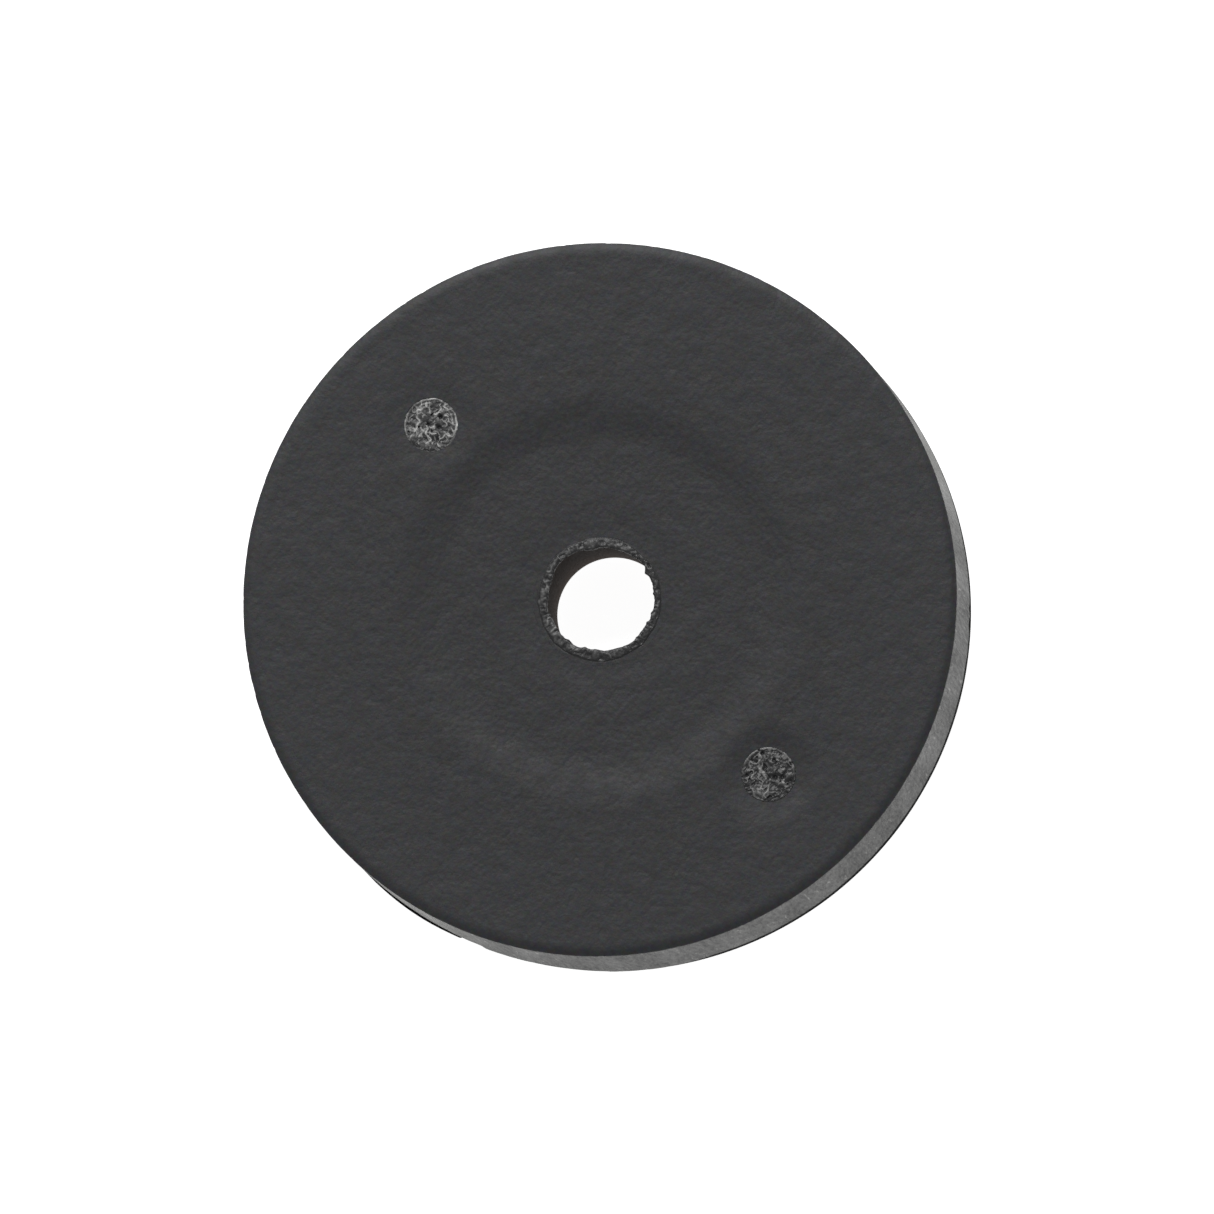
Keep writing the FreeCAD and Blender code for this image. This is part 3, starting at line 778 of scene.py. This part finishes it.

# %% [markdown]
# ## The side wall
#
# The side was polished more than the face and then slid along the mould as the part came out, so it has
# the same plastic with a livelier sheen, drawn in lines along its height, and a sprinkle of pale specks.
# The lines are a noise stretched by scaling its coordinates, which costs nothing and needs no unwrapping.
# At two places near the ends of the wall as the camera sees it, a paler grey is painted on as a painted
# sheen.
# How much is kept on the mesh as a number.

# %% Finish: shell side
abs_side, tree, shader, place = finish("drawn_black_abs")
along = add(tree, "Mapping", {"Vector": place, "Scale": (1, 1, 0.12)})
lines = add(tree, "TexNoise", {"Vector": along, "Scale": 1 / 0.24})
cloud = add(tree, "TexNoise", {"Vector": along, "Scale": 1 / 2.2})
specks = add(tree, "TexNoise", {"Vector": along, "Scale": 1 / 0.34, "Detail": 1})
clear = add(tree, "MapRange", {"Value": lines, "From Min": 0.3, "From Max": 0.7})
lined = {FACTOR: clear, FIRST: linear("#090909"), SECOND: linear("#4d4d4b")}
lined = add(tree, "Mix", lined, MIXED, data_type="RGBA")
painted_sheen = add(tree, "Attribute", out="Fac", attribute_name="painted_sheen")
# The pale grey here is a painted sheen on the side wall.
grey = {FACTOR: painted_sheen, FIRST: lined, SECOND: linear("#8c8c89")}
grey = add(tree, "Mix", grey, MIXED, data_type="RGBA")
highest = {"Value": specks, "From Min": 0.68, "From Max": 0.80, "To Max": 0.6}
speckled = {FACTOR: add(tree, "MapRange", highest), FIRST: grey, SECOND: linear("#a09f9c")}
dull = {"Value": cloud, "From Min": 0.3, "From Max": 0.7, "To Min": 0.48, "To Max": 0.62}
wire(
    tree, shader,
    Base_Color=add(tree, "Mix", speckled, MIXED, data_type="RGBA"),
    Roughness=add(tree, "MapRange", dull),
    Normal=add(tree, "Bump", {"Height": lines, "Distance": 0.20 * MM}),
)
shader.inputs["IOR"].default_value = 1.54
shader.inputs["Specular IOR Level"].default_value = 0.2

# %% Shell: which faces are its side
shell.data.materials.clear()
shell.data.materials.append(abs_face)
shell.data.materials.append(abs_side)
count = len(shell.data.polygons)
centres = np.empty(3 * count)
shell.data.polygons.foreach_get("center", centres)
centres = centres.reshape(-1, 3) / MM
side = np.hypot(centres[:, 0], centres[:, 1]) > OUTSIDE - 2 * CORNER
side &= centres[:, 2] < corner_height + 0.35 * CORNER
shell.data.polygons.foreach_set("material_index", side.astype(np.int32))
print("faces of the side wall:", int(side.sum()), "of", count)

# %% Shell: where a sheen is painted on its side
# Middle and half width of each place in degrees, and how pale the painted sheen makes it, from 0 to 1.
SHEEN_PLACES = ((70, 12, 0.38), (-75, 10, 0.50))
shell_verts = np.empty(3 * len(shell.data.vertices))
shell.data.vertices.foreach_get("co", shell_verts)
angle = np.degrees(np.arctan2(shell_verts[1::3], shell_verts[0::3]))
sheen_paleness = sum(much * hump(off_angle(angle, middle), 0, width) for middle, width, much in SHEEN_PLACES)
shell.data.attributes.new("painted_sheen", "FLOAT", "POINT").data.foreach_set("value", sheen_paleness)
print(f"palest place of the side wall: {sheen_paleness.max():.2f}")

# %% [markdown]
# ## Torn black plastic
#
# Where black plastic is stretched until it tears it turns pale and catches the light, and between the
# tears it is black and fairly glossy, because it melted. The mesh carries how far each point stands on a
# crest, so colour and gloss follow the real relief and not a second, unrelated pattern.

# %% Finish: torn ends
torn_abs, tree, shader, place = finish("torn_black_plastic")
crest = add(tree, "Attribute", out="Fac", attribute_name="torn")
pale = add(tree, "MapRange", {"Value": crest, "From Min": 0.03})
fine = add(tree, "TexNoise", {"Vector": place, "Scale": 1 / 0.09, "Detail": 3})
colour = {FACTOR: pale, FIRST: linear("#262627"), SECOND: linear("#dcdcda")}
wire(
    tree, shader,
    Base_Color=add(tree, "Mix", colour, MIXED, data_type="RGBA"),
    Roughness=add(tree, "MapRange", {"Value": pale, "To Min": 0.42, "To Max": 0.5}),
    Normal=add(tree, "Bump", {"Height": fine, "Distance": 0.012 * MM}),
)
shader.inputs["IOR"].default_value = 1.54

# %% [markdown]
# ## The sleeve's plastic
#
# The sleeve has three looks. Its collar was melted flush with the face and took the same grain, so it
# shares the shell's finish, as do its outside and its back flange. The lip is torn black plastic. The
# wall of the bore is a smooth recycled black that shows a little brown, and stays dull because the
# moulding pin left it slightly etched.

# %% Finish: bore
bore_wall, tree, shader, place = finish("etched_brown_black_plastic")
flow = add(tree, "Mapping", {"Vector": place, "Scale": (1, 1, 0.3)})
streak = add(tree, "TexNoise", {"Vector": flow, "Scale": 1 / 0.8, "Detail": 3})
colour = {FACTOR: streak, FIRST: linear("#322a25"), SECOND: linear("#51453e")}
wire(
    tree, shader,
    Base_Color=add(tree, "Mix", colour, MIXED, data_type="RGBA"),
    Roughness=add(tree, "MapRange", {"Value": streak, "To Min": 0.75, "To Max": 0.9}),
    Normal=add(tree, "Bump", {"Height": streak, "Distance": 0.06 * MM}),
)
shader.inputs["Specular IOR Level"].default_value = 0.08

# %% Sleeve: which faces are collar, lip and wall
# The last rows of the lip's section are deep in the hole, and look like its wall.
DEEP_ROWS = 8
for material in (bore_wall, abs_face, torn_abs):
    sleeve.data.materials.append(material)
WALL_KIND, FACE_KIND, TORN_KIND = range(3)
kind = np.full(len(radius_rows), WALL_KIND, np.int32)
kind[:lip_first] = FACE_KIND
kind[-FLANGE_ROWS:] = FACE_KIND
kind[lip_first:lip_last - DEEP_ROWS] = TORN_KIND
sleeve.data.polygons.foreach_set("material_index", np.repeat(kind, COLUMNS))
print("rows of wall, collar and lip:", np.bincount(kind).tolist())

# %% [markdown]
# ## Rubber
#
# Sheet rubber is dull because its skin is full of tiny hollows: hardly any mirror-like reflection is
# left, so its specular level is low and its roughness high. A faint press mark from the cloth that it
# was cured on is two crossed waves as far apart as the cloth's threads. A Wave texture has 20 radians of
# wave in a unit at scale 1, and the scale is worked out from that.

# %% Finish: rubber pad
rubber_and_shade, tree, shader, place = finish("black_rubber_and_painted_shade")
THREAD_SPACING = 0.377
weave = {"Vector": place, "Scale": 2 * math.pi / 20 / THREAD_SPACING, "Distortion": 0.4}
warp = add(tree, "TexWave", weave, out="Fac", bands_direction="X")
weft = add(tree, "TexWave", weave, out="Fac", bands_direction="Y")
woven = add(tree, "Bump", {"Height": weft, "Distance": 0.02 * MM})
dust = add(tree, "TexNoise", {"Vector": place, "Scale": 1 / 0.8, "Detail": 4})
# The near-black colour and the low specular level below keep the pad's edge dark: painted shade for the
# contact shadow along the puck's bottom edge.
colour = {FACTOR: dust, FIRST: linear("#0b0b0b"), SECOND: linear("#161616")}
wire(
    tree, shader,
    Base_Color=add(tree, "Mix", colour, MIXED, data_type="RGBA"),
    Roughness=add(tree, "MapRange", {"Value": dust, "To Min": 0.85, "To Max": 1.0}),
    Normal=add(tree, "Bump", {"Height": warp, "Distance": 0.02 * MM, "Normal": woven}),
)
shader.inputs["Specular IOR Level"].default_value = 0.04

# %% [markdown]
# ## The parts inside
#
# Nobody sees these until the puck is cut open, but each is still finished as what it is. Natural ABS is a
# warm grey with moulding flow in it. The magnets are sintered and nickel-plated, which is a metal with a
# yellowish white colour and a slight ripple. The steel plate is zinc-plated, and zinc shows a cool
# spangle. The foam is full of closed cells, and the tape is a thin black film of acrylic.

# %% Finish: natural grey ABS
grey_abs, tree, shader, place = finish("natural_grey_abs")
flow = add(tree, "TexNoise", {"Vector": place, "Scale": 1 / 6.0, "Detail": 3})
fine = add(tree, "TexNoise", {"Vector": place, "Scale": 1 / 0.2})
colour = {FACTOR: flow, FIRST: linear("#9c9a94"), SECOND: linear("#aeaca6")}
wire(
    tree, shader,
    Base_Color=add(tree, "Mix", colour, MIXED, data_type="RGBA"),
    Roughness=add(tree, "MapRange", {"Value": fine, "To Min": 0.42, "To Max": 0.55}),
    Normal=add(tree, "Bump", {"Height": fine, "Distance": 0.006 * MM}),
)
shader.inputs["IOR"].default_value = 1.54

# %% Finish: nickel plate
nickel, tree, shader, place = finish("bright_nickel_plate")
ripple = add(tree, "TexNoise", {"Vector": place, "Scale": 1 / 0.5, "Detail": 3})
colour = {FACTOR: ripple, FIRST: linear("#c9c0ae"), SECOND: linear("#d8d1c3")}
wire(
    tree, shader,
    Base_Color=add(tree, "Mix", colour, MIXED, data_type="RGBA"),
    Roughness=add(tree, "MapRange", {"Value": ripple, "To Min": 0.16, "To Max": 0.28}),
    Normal=add(tree, "Bump", {"Height": ripple, "Distance": 0.003 * MM}),
)
shader.inputs["Metallic"].default_value = 1.0

# %% Finish: zinc plate
zinc, tree, shader, place = finish("bright_zinc_plate")
cells = add(tree, "TexVoronoi", {"Vector": place, "Scale": 1 / 1.2}, out="Color")
spangle = add(tree, "SeparateColor", {"Color": cells}, out="Red")
scratch = add(tree, "TexNoise", {"Vector": place, "Scale": 1 / 0.15, "Detail": 3})
colour = {FACTOR: spangle, FIRST: linear("#a9aeb2"), SECOND: linear("#c2c7ca")}
wire(
    tree, shader,
    Base_Color=add(tree, "Mix", colour, MIXED, data_type="RGBA"),
    Roughness=add(tree, "MapRange", {"Value": spangle, "To Min": 0.28, "To Max": 0.45}),
    Normal=add(tree, "Bump", {"Height": scratch, "Distance": 0.003 * MM}),
)
shader.inputs["Metallic"].default_value = 1.0

# %% Finish: foam
foam, tree, shader, place = finish("closed_cell_foam")
bubbles = add(tree, "TexVoronoi", {"Vector": place, "Scale": 1 / 0.35}, out="Distance")
colour = {FACTOR: bubbles, FIRST: linear("#2c2c2e"), SECOND: linear("#4a4a4d")}
wire(
    tree, shader,
    Base_Color=add(tree, "Mix", colour, MIXED, data_type="RGBA"),
    Normal=add(tree, "Bump", {"Height": bubbles, "Distance": 0.08 * MM}),
)
shader.inputs["Roughness"].default_value = 0.95
shader.inputs["Specular IOR Level"].default_value = 0.2

# %% Finish: tape
tape, tree, shader, place = finish("black_acrylic_tape")
film = add(tree, "TexNoise", {"Vector": place, "Scale": 1 / 0.6, "Detail": 3})
colour = {FACTOR: film, FIRST: linear("#0c0c0c"), SECOND: linear("#171717")}
wire(
    tree, shader,
    Base_Color=add(tree, "Mix", colour, MIXED, data_type="RGBA"),
    Roughness=add(tree, "MapRange", {"Value": film, "To Min": 0.7, "To Max": 0.9}),
)
shader.inputs["Specular IOR Level"].default_value = 0.06

# %% Finishes on their pieces
NEW_PIECES = {"melted_pin_1": torn_abs, "melted_pin_2": torn_abs, "pad_and_painted_shade": rubber_and_shade}
FRAME_SOLIDS = {"base_plate": abs_face, "magnet_carrier": grey_abs, "magnet_spacer": grey_abs,
                "inner_ring_magnet": nickel, "outer_ring_magnet": nickel, "back_iron": zinc,
                "front_shim": foam, "pad_tape": tape}
for name, material in NEW_PIECES.items():
    bpy.data.objects[name].data.materials.append(material)
for name, material in FRAME_SOLIDS.items():
    for slot in frame["nodes"][name].material_slots:
        slot.material = material
print("pieces with one finish:", len(NEW_PIECES) + len(FRAME_SOLIDS))

# %% [markdown]
# ## Floor, light and camera
#
# A black object on white is hard to light: its face shows only what it mirrors. The puck lies on a pale
# table that glows a little, so the hole shows white and the side wall picks up the table. One large soft
# lamp stands to one side of straight up, which is what makes the dish and the sunk places readable. The
# ceiling is dark and the walls of the tent are pale, so that the face stays black from above and the
# sides have something to reflect.

# %% Floor
FLOOR_SIZE = 6.0
bpy.ops.mesh.primitive_plane_add(size=FLOOR_SIZE, location=(0, 0, 0))
floor = bpy.context.object
floor.name = "lit_table"
table_top, tree, shader, place = finish("pale_lit_table")
shader.inputs["Base Color"].default_value = linear("#e8e8e8")
shader.inputs["Roughness"].default_value = 0.9
shader.inputs["Specular IOR Level"].default_value = 0.0
shader.inputs["Emission Color"].default_value = (1, 1, 1, 1)
shader.inputs["Emission Strength"].default_value = 0.95
floor.data.materials.append(table_top)
print(f"table: {FLOOR_SIZE} m wide")

# %% Tent
# Brightness of the ceiling and of the walls, and how steeply a ray rises where one turns into the other.
CEILING, WALLS = 0.16, 0.75
WALLS_END, CEILING_STARTS = 0.15, 0.6
world = bpy.data.worlds.new("tent")
bpy.context.scene.world = world
world.use_nodes = True
tree = world.node_tree
height = add(tree, "SeparateXYZ", {"Vector": add(tree, "TexCoord", out="Generated")}, out="Z")
level = add(tree, "MapRange", {
    "Value": height, "From Min": WALLS_END, "From Max": CEILING_STARTS, "To Min": WALLS, "To Max": CEILING,
}, interpolation_type="SMOOTHSTEP")
tree.links.new(level, tree.nodes["Background"].inputs["Strength"])
tree.nodes["Background"].inputs["Color"].default_value = (1, 1, 1, 1)
print(f"tent: walls {WALLS}, ceiling {CEILING}")

# %% Camera
# The camera leans over from straight above by TILT, along X, and turns about its own line of sight by
# ROLL. It stands DISTANCE metres away and sees FRAME_WIDTH metres there. The sensor is in mm.
TILT = math.radians(8.33)
ROLL = math.radians(46.0)
DISTANCE = 3.0
FRAME_WIDTH = 0.08472
SENSOR = 36.0
# It aims this many mm off the puck's axis, along X.
OFF_AXIS = -0.04
back = Vector((math.sin(TILT), 0, math.cos(TILT)))
down_right = Vector((math.cos(TILT), 0, -math.sin(TILT)))
up_right = Vector((0, 1, 0))
image_right = math.cos(ROLL) * down_right + math.sin(ROLL) * up_right
image_up = -math.sin(ROLL) * down_right + math.cos(ROLL) * up_right
aim = Vector((OFF_AXIS * MM, 0, FACE / 2 * MM))
camera = bpy.data.objects.new("camera", bpy.data.cameras.new("camera"))
camera.data.sensor_width = SENSOR
camera.data.lens = SENSOR * DISTANCE / FRAME_WIDTH
camera.data.clip_start = 0.05
turned = Matrix((image_right, image_up, back)).transposed()
camera.matrix_world = Matrix.Translation(aim + DISTANCE * back) @ turned.to_4x4()
bpy.context.scene.collection.objects.link(camera)
bpy.context.scene.camera = camera
print(f"lens {camera.data.lens:.0f} mm at {DISTANCE} m")

# %% Lamp
# The lamp leans over from straight above by LAMP_TILT, towards the top of the view and then LAMP_TURN
# anticlockwise. Its distance and size are in metres, and its power is in watts.
LAMP_TILT = math.radians(38)
LAMP_TURN = math.radians(14)
LAMP_DISTANCE, LAMP_SIZE, LAMP_POWER = 1.2, 0.6, 8.8
flat_up = Vector((image_up.x, image_up.y, 0)).normalized()
flat_up.rotate(Matrix.Rotation(LAMP_TURN, 3, "Z"))
lamp = bpy.data.objects.new("soft_lamp", bpy.data.lights.new("soft_lamp", "AREA"))
lamp.data.size = LAMP_SIZE
lamp.data.energy = LAMP_POWER
lamp_way = math.sin(LAMP_TILT) * flat_up + Vector((0, 0, math.cos(LAMP_TILT)))
lamp.location = aim + LAMP_DISTANCE * lamp_way
lamp.rotation_mode = "QUATERNION"
lamp.rotation_quaternion = lamp_way.to_track_quat("Z", "Y")
bpy.context.scene.collection.objects.link(lamp)
# Colours are shown as they are, with no film-like curve.
bpy.context.scene.view_settings.view_transform = "Standard"
print("lamp, m:", [round(v, 2) for v in lamp.location])
